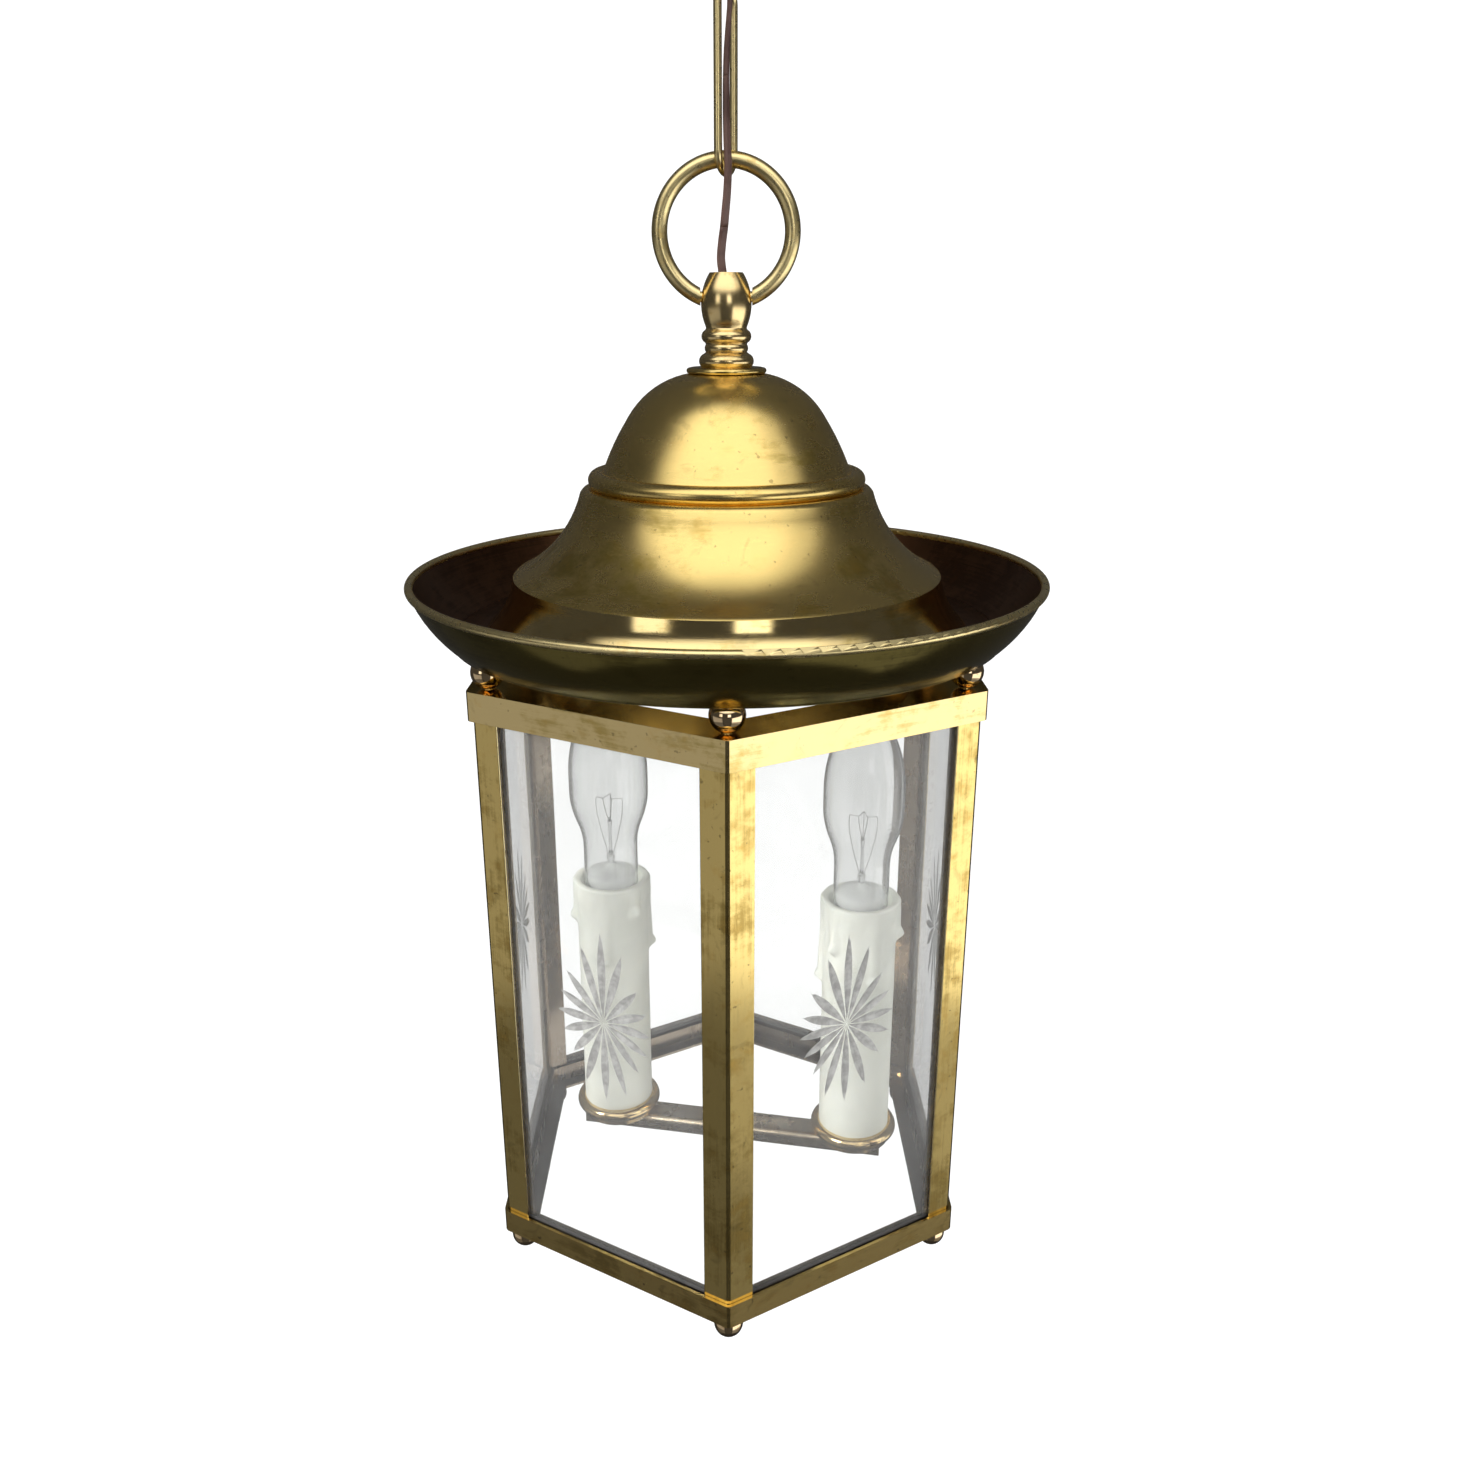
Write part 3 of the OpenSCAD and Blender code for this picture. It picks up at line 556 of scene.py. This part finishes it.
for side in SIDES:
    finishes.update(
        {
            f"candle_stem_{side}": ("upright", "brass"),
            f"candle_cup_{side}": ("cup", "bright_brass"),
            f"lampholder_{side}": ("holder", "holder"),
            f"holder_contact_{side}": ("cup", "bright_brass"),
            f"bulb_glass_{side}": ("lamp", "lamp_glass"),
            f"bulb_cap_{side}": ("cap", "lamp_cap"),
        }
    )


def wear(made, look):
    """Give a piece its one look."""
    made.data.materials.clear()
    made.data.materials.append(looks[look])


for name, (look, slot) in finishes.items():
    wear(nodes[name], look)
for piece in flex_pieces:
    wear(piece, "flex")


def second_look(made, look, chosen):
    """A second material on the faces that chosen picks by centre, normal and highest corner."""
    made.data.materials.append(looks[look])
    for face in made.data.polygons:
        top = max(made.data.vertices[i].co.z for i in face.vertices) * 1000 + DROP
        if chosen(face.center, face.normal, top):
            face.material_index = len(made.data.materials) - 1


# Heights where the pan's rolled rim begins, and where the dome's band and the frame's shelf end
PAN_RIM_FROM, DOME_BAND_TO, SHELF_TO = 29.6, 31.5, -217.5
POSTS = [f"post_{corner}" for corner in CORNERS]

second_look(nodes["pan"], "pan_inside", lambda c, n, top: n.z > 0.12 and top < PAN_RIM_FROM)
second_look(nodes["pan"], "wire", lambda c, n, top: top > PAN_RIM_FROM)
second_look(nodes["dome"], "dome_band", lambda c, n, top: top < DOME_BAND_TO)
# The shelf's upward faces under the panes are painted near-black, as painted shade.
second_look(nodes["bottom_frame"], "shelf_shade", lambda c, n, top: n.z > 0.7 and top < SHELF_TO)


def faces_inward(c, n, _):
    """Upright faces that look towards the lantern's middle."""
    return abs(n.z) < 0.5 and n.x * c.x + n.y * c.y < 0


for name in ("top_frame", "bottom_frame", "pane_retainers", *POSTS):
    second_look(nodes[name], "inner", faces_inward)


def welded(made):
    """Joins faces at their shared edges, which the modifiers that follow need."""
    made.modifiers.new("one_skin", "WELD").merge_threshold = 0.00001


# Spun and turned pieces are shaded smoothly over their narrow bands, and stay crisp at their real edges.
for name in (
    "dome", "pan", "dome_collar", "finial", "ceiling_rose", "hanging_ring", "chain_link", "ceiling_hook",
    *(f"candle_cup_{side}" for side in SIDES),
):  # fmt: skip
    welded(nodes[name])
    crisp = nodes[name].modifiers.new("real_edges", "EDGE_SPLIT")
    crisp.split_angle = math.radians(32)
    crisp.use_edge_sharp = False
    smooth = nodes[name].modifiers.new("smooth_bands", "WEIGHTED_NORMAL")
    smooth.mode = "FACE_AREA_WITH_ANGLE"

# Folded pieces keep flat faces and get narrow rounded edges in the brighter brass of rubbed metal.
for name in ("top_frame", "bottom_frame", "candle_bar", *POSTS):
    nodes[name].data.materials.append(looks["edge"])
    welded(nodes[name])
    rounded = nodes[name].modifiers.new("rubbed_edges", "BEVEL")
    rounded.width = 0.0003
    rounded.segments = 2
    rounded.limit_method = "ANGLE"
    rounded.angle_limit = math.radians(40)
    rounded.material = len(nodes[name].data.materials) - 1
    flat = nodes[name].modifiers.new("flat_faces", "WEIGHTED_NORMAL")
    flat.weight = 100
    flat.keep_sharp = True


# ---- Panes with their cut stars ----

# How far out its two faces are, its foot and top, and half its width
PANE_OUT, PANE_IN, PANE_LOW, PANE_HIGH, PANE_HALF = 86.66, 84.26, -217.8, -1.8, 48.45
# The star's middle on the pane, and each ray's angle and length, evened out from what was
# measured on the photo's two front stars
STAR_AT = (-1.3, -116.7)
STAR_RAYS = [
    (0, 20.4), (24, 20.2), (48, 22.3), (73, 30.2), (90, 35.6), (107, 30), (132, 23), (156, 20.4),
    (180, 20.2), (204, 19.8), (229, 21.4), (252, 28.6), (270, 32.4), (288, 29.2), (312, 22), (336, 20.6),
]  # fmt: skip
STAR_DEPTH, REAR_STAR_DEPTH = 0.75, 0.25
RAY_FROM, RAY_HALF, RAY_END, RAY_STEPS = 0.4, 1.7, 0.02, 14
ABOVE_FACE = 0.35  # how far a cutter stands out of the glass


def ray_cutter(bm, angle, length, depth):
    """One cut: a V-shaped groove, widest and deepest past its middle, that runs out at both ends."""
    out = heading(angle)
    across = UP.cross(out)
    sections = []
    for i in range(RAY_STEPS + 1):
        t = i / RAY_STEPS
        size = max(math.sin(math.pi * t**1.25) ** 0.85, RAY_END)
        p = out * (RAY_FROM + (length - RAY_FROM) * t)
        deep = depth * size
        wide = RAY_HALF * size * (1 + ABOVE_FACE / max(deep, 0.2))
        left, right = p + across * wide, p - across * wide
        sections.append(
            [(left.x, left.y, ABOVE_FACE), (p.x, p.y, -deep), (right.x, right.y, ABOVE_FACE)]
        )
    points = [[bm.verts.new(q) for q in section] for section in sections]
    for s, t in zip(points, points[1:]):
        for i in range(3):
            bm.faces.new((s[i], s[(i + 1) % 3], t[(i + 1) % 3], t[i]))
    bm.faces.new(points[0])
    bm.faces.new(reversed(points[-1]))


def pane_mesh(depth, look):
    """A pane lying flat with its star cut into the outer face: x across it, y up it, z out of it."""
    size = (2 * PANE_HALF, PANE_HIGH - PANE_LOW, PANE_OUT - PANE_IN)
    middle = (0, (PANE_HIGH + PANE_LOW) / 2, (PANE_IN - PANE_OUT) / 2)
    bm = bmesh.new()
    bmesh.ops.create_cube(bm, size=1)
    bmesh.ops.scale(bm, vec=size, verts=bm.verts)
    bmesh.ops.translate(bm, vec=middle, verts=bm.verts)
    data = bpy.data.meshes.new("pane")
    bm.to_mesh(data)
    bm.free()
    pane = bpy.data.objects.new("pane_blank", data)
    data.materials.append(looks["pane"])
    bpy.context.scene.collection.objects.link(pane)
    cutters = []
    for angle, length in STAR_RAYS:
        bm = bmesh.new()
        ray_cutter(bm, angle, length, depth)
        bmesh.ops.recalc_face_normals(bm, faces=bm.faces)
        bmesh.ops.translate(bm, vec=(*STAR_AT, 0), verts=bm.verts)
        tool = bpy.data.meshes.new("ray")
        bm.to_mesh(tool)
        bm.free()
        tool.materials.append(looks[look])
        cutter = bpy.data.objects.new("ray", tool)
        bpy.context.scene.collection.objects.link(cutter)
        cutters.append(cutter)
        cut = pane.modifiers.new("cut", "BOOLEAN")
        cut.operation = "DIFFERENCE"
        cut.solver = "EXACT"
        cut.material_mode = "TRANSFER"
        cut.object = cutter
    bpy.context.view_layer.update()
    cut_pane = pane.evaluated_get(bpy.context.evaluated_depsgraph_get())
    made = bpy.data.meshes.new_from_object(cut_pane)
    for spare in (*cutters, pane):
        bpy.data.objects.remove(spare)
    return made


# The stars behind are cut shallower and polished, so that they hardly show from the front.
star_pane = pane_mesh(STAR_DEPTH, "cut")
rear_pane = pane_mesh(REAR_STAR_DEPTH, "pane")
PANES = ("front_right", "right", "back_right", "back_left", "left", "front_left")
for k, name in enumerate(PANES):
    data = (rear_pane if name.startswith("back") else star_pane).copy()
    # The flat pane's x, y and z become across to the right as seen from outside, up and outward.
    outward = heading(60 * k - 60)
    across = UP.cross(outward)
    turn = Matrix((across, UP, outward)).transposed().to_4x4()
    lift = Matrix.Translation(outward * PANE_OUT - UP * DROP)
    # The foot faces of the panes take the black holder material: painted shade for the dark line along the
    # panes' foot.
    data.materials.append(looks["holder"])
    for face in data.polygons:
        if face.normal.y < -0.9 and face.center.y < PANE_LOW + 0.1:
            face.material_index = len(data.materials) - 1
    data.transform(Matrix.Scale(0.001, 4) @ lift @ turn)
    made = bpy.data.objects.new(f"cut_pane_{name}", data)
    bpy.context.scene.collection.objects.link(made)
    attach(made, "lantern")
    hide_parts(f"pane_{name}")


# ---- Candle sleeves with their wax runs ----

SLEEVE_LOW, SLEEVE_TOP, SLEEVE_R, SLEEVE_BORE_R = -208.5, -98.5, 14.6, 12.4
# The plain foot of a sleeve needs fewer loops than the part with the runs.
SLEEVE_FOOT, FOOT_LOOPS, RUN_LOOPS, SLEEVE_POINTS = 52, 16, 92, 160

# Each run: the way it faces in degrees from the front, its length, its half width
# and how far its drop stands out
WAX_RUNS = {
    "left": [
        (-84, 20, 2.3, 2.3), (96, 34, 2.0, 2.5), (44, 14.5, 2.2, 2.4), (-6, 35, 2.0, 1.7),
        (150, 25, 2.1, 1.7), (-140, 31, 1.9, 1.6), (70, 9, 3.0, 0.7), (-45, 8, 3.5, 0.7),
        (188, 12, 2.4, 1.2),
    ],
    "right": [
        (83, 18.5, 2.3, 2.5), (-97, 39, 2.1, 2.6), (-49, 21.5, 2.2, 2.5), (18, 34, 2.1, 1.9),
        (135, 28, 2.1, 1.6), (-150, 20, 2.2, 1.8), (50, 9, 3.2, 0.8), (-20, 8, 3.4, 0.7),
        (180, 33, 1.9, 1.5),
    ],
}  # fmt: skip
# Radius and depth below the top, over the rim and down the bore
RIM = [
    (14.5, 0.25), (13.9, 0.02), (13.1, 0.1), (12.6, 0.5), (SLEEVE_BORE_R, 1.3),
    (SLEEVE_BORE_R, 13.5), (SLEEVE_BORE_R, 51.5), (SLEEVE_BORE_R, SLEEVE_TOP - SLEEVE_LOW),
]  # fmt: skip


def wax_bulge(runs, degrees, z, seed):
    """How far the wax stands out of the plain sleeve, on its outside."""
    down = SLEEVE_TOP - z
    a = math.radians(degrees)
    flow = noise.noise(Vector((math.cos(a) * 2, math.sin(a) * 2, seed))) * 4
    crust = 0.95 * (1 - step_between(5 + flow, 13 + flow, down))
    crust += 0.12 * noise.noise(Vector((math.cos(a) * 1.4, math.sin(a) * 1.4, z / 14 + seed)))
    thick = crust
    for facing, length, half, drop in runs:
        off = (degrees - facing + 180) % 360 - 180
        d = abs(math.radians(off)) * SLEEVE_R
        widen = half * (1 + 0.9 * (1 - step_between(0, length * 0.6, down)))
        swell = drop * (0.42 + 0.4 * step_between(0, length, down))
        body = swell * math.exp(-((d / widen) ** 2.4))
        body *= 1 - step_between(length - 2.2, length + 0.5, down)
        bead = (down - length + 2.9) / (4.2 if down < length - 2.9 else 2.0)
        end = 1.28 * drop * math.exp(-((d / half) ** 2.4)) * math.exp(-(bead**2))
        thick = max(thick, body + crust * 0.4, end + crust * 0.2)
    return thick * step_between(SLEEVE_LOW, SLEEVE_LOW + 3, z)


def sleeve_loops(side):
    """Loops up the outside with its wax, over the rim and down the bore."""
    centre, runs, seed = candle_at(side), WAX_RUNS[side], SIDES.index(side) * 7.3
    ways = [360 * i / SLEEVE_POINTS for i in range(SLEEVE_POINTS)]
    upper = SLEEVE_TOP - 0.9 - SLEEVE_LOW - SLEEVE_FOOT
    levels = [SLEEVE_LOW + SLEEVE_FOOT * i / FOOT_LOOPS for i in range(FOOT_LOOPS)]
    levels += [SLEEVE_LOW + SLEEVE_FOOT + upper * i / RUN_LOOPS for i in range(RUN_LOOPS + 1)]
    loops = []
    for z in levels:
        loop = []
        for degrees in ways:
            a = math.radians(degrees - 90)
            r = SLEEVE_R + wax_bulge(runs, degrees, z, seed)
            loop.append((centre.x + r * math.cos(a), centre.y + r * math.sin(a), z))
        loops.append(loop)
    for r, down in RIM:
        loop = []
        for degrees in ways:
            a = math.radians(degrees - 90)
            x, y = math.cos(a), math.sin(a)
            dip = 0.25 * noise.noise(Vector((x * 1.6, y * 1.6, seed + 3))) if down < 1 else 0
            swell = wax_bulge(runs, degrees, SLEEVE_TOP - 1, seed)
            swell *= (r - SLEEVE_BORE_R) / (SLEEVE_R - SLEEVE_BORE_R)
            at = (centre.x + (r + swell) * x, centre.y + (r + swell) * y)
            loop.append((*at, SLEEVE_TOP - down - abs(dip)))
        loops.append(loop)
    return loops


for side in SIDES:
    sleeve = mesh(f"wax_sleeve_{side}", *rings(sleeve_loops(side), closed=True))
    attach(sleeve, "lantern")
    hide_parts(f"candle_sleeve_{side}")
    wear(sleeve, "wax")


# ---- Insides of the lamps ----

LAMP_LOW = -104.1  # the foot of the glass

# In each lamp's own directions, x along the bar and z up from LAMP_LOW: outlines as radius and height
LAMP_FOOT = [
    (6.6, 1.0), (8.6, 2.0), (9.7, 4.2), (9.9, 7), (9.3, 8.2), (6, 9.2), (3.4, 10), (2, 11), (1.4, 12),
]  # fmt: skip
LAMP_STEM = [
    (1.4, 12.05), (1.35, 13), (1.7, 14.2), (1.5, 15.4), (0.9, 16), (0.65, 18),
    (0.6, 27), (0.85, 29), (0.95, 30.2), (0.5, 31.2),
]  # fmt: skip
LEADS = [
    [(s * 0.9, 0, 13), (s * 1.3, 0, 17), (s * 3.2, 0, 24),
     (s * 5.2, 0, 33), (s * 5.6, 0, 39), (s * 5.2, 0, 40.6)]
    for s in (-1, 1)
]  # fmt: skip
SUPPORTS = [
    [(0, 0, 30), (s * 0.9, t * 1.2, 34), (s * 1.7, t * 2.2, 39.5),
     (s * 1.9, t * 2.3, 41), (s * 1.5, t * 2.2, 41.3)]
    for s, t in ((-1, -1), (1, -1), (0, 1))
]  # fmt: skip
FILAMENT = [(-5.2, 0, 40.6), (-1.8, -2.3, 41.2), (0, 2.3, 41.3), (1.8, -2.3, 41.2), (5.2, 0, 40.6)]
WIRE_R, FILAMENT_R, FILAMENT_WAVE = 0.15, 0.1, 0.16


def joined(parts):
    """Several meshes' points and faces as one."""
    points, faces = [], []
    for p, f in parts:
        faces += [tuple(i + len(points) for i in face) for face in f]
        points += p
    return points, faces


for side in SIDES:
    centre, across = candle_at(side), heading(BAR_TURN)
    through = UP.cross(across)

    def lamp_point(x, y, z, centre=centre, across=across, through=through):
        return centre + across * x + through * y + Vector((0, 0, LAMP_LOW + z))

    def lathe(outline, n, lamp_point=lamp_point):
        return rings([[lamp_point(x, y, z) for x, y in circle(r, n)] for r, z in outline])

    foot = mesh(f"lamp_foot_{side}", *lathe(LAMP_FOOT, 48))
    wear(foot, "milky")
    stem = mesh(f"lamp_stem_{side}", *lathe(LAMP_STEM, 24))
    wear(stem, "lamp")

    parts = []
    for lead in LEADS + SUPPORTS:
        line = curve([lamp_point(*p) for p in lead], 0.8)
        parts.append(rings(sweep(line, circle(WIRE_R, 8), side=Vector((0, 1, 0)))))
    line = curve([lamp_point(*p) for p in FILAMENT], 0.16)
    coil = [p + UP * FILAMENT_WAVE * math.sin(i * 2.1) for i, p in enumerate(line)]
    parts.append(rings(sweep(coil, circle(FILAMENT_R, 6), side=UP)))
    leads_mesh = mesh(f"lamp_leads_{side}", *joined(parts))
    wear(leads_mesh, "lead")
    for made in (foot, stem, leads_mesh):
        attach(made, f"bulb_{side}")
    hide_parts(f"bulb_mount_{side}")


# ---- Surroundings ----

def mirrored_light(tree):
    """1 for light that has been mirrored on its way, otherwise 0."""
    depth = put(tree, "ShaderNodeLightPath").outputs["Glossy Depth"]
    return calc(tree, "GREATER_THAN", depth, 0.5)


# Pale floor that curves up into a backdrop all round, which the brass doesn't mirror
FLOOR_Z, FLOOR_R, BEND_R, BEND_STEPS, BACKDROP_TOP = -1100, 2600, 900, 12, 6000
profile = [(1, FLOOR_Z), (FLOOR_R, FLOOR_Z)]
for t in range(1, BEND_STEPS + 1):
    a = math.pi / 2 * t / BEND_STEPS
    profile.append((FLOOR_R + BEND_R * math.sin(a), FLOOR_Z + BEND_R * (1 - math.cos(a))))
profile.append((FLOOR_R + BEND_R, BACKDROP_TOP))
points, faces = rings([[(x, y, z) for x, y in circle(r, 96)] for r, z in profile])
floor = mesh("floor", points, faces[:-1])
floor_material, tree = new_material("floor")
tone = mix(tree, grain(tree, place(tree), 3, 4), (0.90, 0.90, 0.90), (0.94, 0.94, 0.94))
paper = put(
    tree,
    "ShaderNodeBsdfPrincipled",
    {"Base Color": tone, "Roughness": 0.9,
     "Emission Color": (1, 1, 1, 1), "Emission Strength": 0.2},
).outputs[0]  # fmt: skip
unseen = put(tree, "ShaderNodeBsdfTransparent").outputs[0]
shown = put(tree, "ShaderNodeMixShader", {0: mirrored_light(tree), 1: paper, 2: unseen})
surface(tree, shown.outputs[0])
floor.data.materials.append(floor_material)
floor.visible_glossy = False

# Neutral soft panels and dark cards round the lantern, which the brass mirrors. They stand where
# the highlights fall about as the photo has them, and each is given as
# (from and to degrees round from the front, from and to degrees up, softness, brightness).
PANELS = [
    (-115, 115, -8, 26, 4, 0.055),
    (-72, 76, 25, 86, 8, 0.9),
    (-60, 52, 27, 74, 10, 1.45),
    (-48, -30, 2, 17, 2, 1.4),
    (4, 22, 2, 17, 2, 1.8),
    (-95, -30, -31, -7, 4, 0.34),
    (-95, -30, -60, -31, 3, 0.12),
    (30, 100, -31, -6, 4, 1.5),
    (30, 100, -39, -31, 3, 0.42),
    (30, 100, -60, -39, 3, 0.2),
    (-24, 24, -60, -8, 4, 0.06),
]

world = bpy.data.worlds.new("studio")
bpy.context.scene.world = world
world.use_nodes = True
world.cycles.sampling_method = "NONE"
tree = world.node_tree
tree.nodes.clear()
way = put(tree, "ShaderNodeTexCoord").outputs["Generated"]
xyz = put(tree, "ShaderNodeSeparateXYZ", {0: way}).outputs
around = calc(tree, "ARCTAN2", xyz[0], times(tree, xyz[1], -1.0))
around = times(tree, around, 180 / math.pi)
upward = times(tree, calc(tree, "ARCSINE", xyz[2]), 180 / math.pi)
panels = mix(tree, span(tree, upward, -60, 60), (0.03, 0.03, 0.03), (0.08, 0.08, 0.08))
for left, right, low, high, soft, bright in PANELS:
    mask = span(tree, around, left - soft, left + soft)
    mask = times(tree, mask, span(tree, around, right + soft, right - soft))
    mask = times(tree, mask, span(tree, upward, low - soft / 2, low + soft / 2))
    mask = times(tree, mask, span(tree, upward, high + soft / 2, high - soft / 2))
    panels = mix(tree, mask, panels, (bright, bright, bright))
white = {"Color": (0.94, 0.94, 0.94, 1), "Strength": 0.6}
plain = put(tree, "ShaderNodeBackground", white).outputs[0]
mirrored = put(tree, "ShaderNodeBackground", {"Color": panels, "Strength": 1.0}).outputs[0]
shown = put(tree, "ShaderNodeMixShader", {0: mirrored_light(tree), 1: plain, 2: mirrored})
put(tree, "ShaderNodeOutputWorld", {"Surface": shown.outputs[0]})

# Two soft lamps: name, place, what it aims at, side and power
for name, spot, aim, size, watts in (
    ("key", (-1.2, -1.1, 0.7), (0, 0, -0.28), 0.8, 24),
    ("fill", (1.5, -0.7, 0.1), (0, 0, -0.3), 1.2, 7),
):
    lamp = bpy.data.objects.new(name, bpy.data.lights.new(name, "AREA"))
    lamp.data.shape = "SQUARE"
    lamp.data.size = size
    lamp.data.energy = watts
    lamp.location = spot
    lamp.rotation_euler = (Vector(aim) - Vector(spot)).to_track_quat("-Z", "Y").to_euler()
    lamp.visible_glossy = False
    bpy.context.scene.collection.objects.link(lamp)
